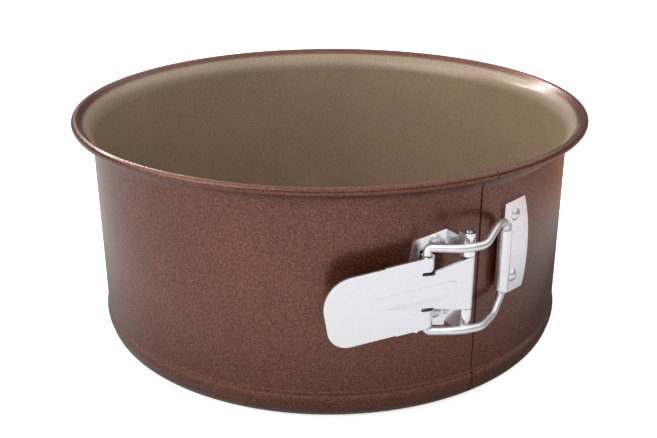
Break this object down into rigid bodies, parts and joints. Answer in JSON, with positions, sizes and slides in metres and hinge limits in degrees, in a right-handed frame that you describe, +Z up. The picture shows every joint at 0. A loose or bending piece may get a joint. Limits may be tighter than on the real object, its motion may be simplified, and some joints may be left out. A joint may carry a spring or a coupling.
{
  "type": "round springform cake tin",
  "caption": "Round springform cake tin: a coated steel band with a rolled rim, closed by an over-centre lever clasp with a wire bail, and a loose base disc.",
  "frame": {"origin": "on the tin's axis, on the plane that it stands on", "axes": "+Z up along the tin's axis; the seam of the band, under the clasp, faces -Y; the lever points to -X and the catch plate is on the +X side"},
  "size_m": [0.1956, 0.2021, 0.0857],
  "materials": {
    "coated_steel": "satin brown non-stick coating",
    "coated_steel_inside": "satin olive-brown non-stick coating",
    "plated_steel": "bright plated steel"
  },
  "bodies": {
    "root": {"band_left": "coated_steel", "hinge_bracket": "plated_steel", "bracket_rivet_upper": "plated_steel", "bracket_rivet_lower": "plated_steel", "hinge_pin": "plated_steel"},
    "clasp_lever": {"lever": "plated_steel"},
    "right_band": {"band_right": "coated_steel", "catch_plate": "plated_steel", "catch_rivet_upper": "plated_steel", "catch_rivet_lower": "plated_steel"},
    "clasp_bail": {"bail": "plated_steel"},
    "base": {"base_disc": "coated_steel_inside"}
  },
  "joints": [
    {"name": "lever_swing", "type": "hinge", "parent": "root", "child": "clasp_lever", "pos_m": [-0.0118, -0.099, 0.0518], "axis": [0, 0, 1], "range_deg": [0, 120]},
    {"name": "band_opening", "type": "hinge", "parent": "root", "child": "right_band", "pos_m": [0, 0.09778, 0.04285], "axis": [0, 0, 1], "range_deg": [0, 2.41]},
    {"name": "bail_swing", "type": "hinge", "parent": "right_band", "child": "clasp_bail", "pos_m": [0.0085, -0.0932, 0.0521], "axis": [0, 0, 1], "range_deg": [0, 32.6]},
    {"name": "base_lift", "type": "slide", "parent": "root", "child": "base", "axis": [0, 0, 1], "range_m": [0, 0.09]}
  ],
  "couplings": [
    {"joint": "band_opening", "follows": "lever_swing", "ratio": 0.019592},
    {"joint": "bail_swing", "follows": "lever_swing", "ratio": 0.27066}
  ]
}
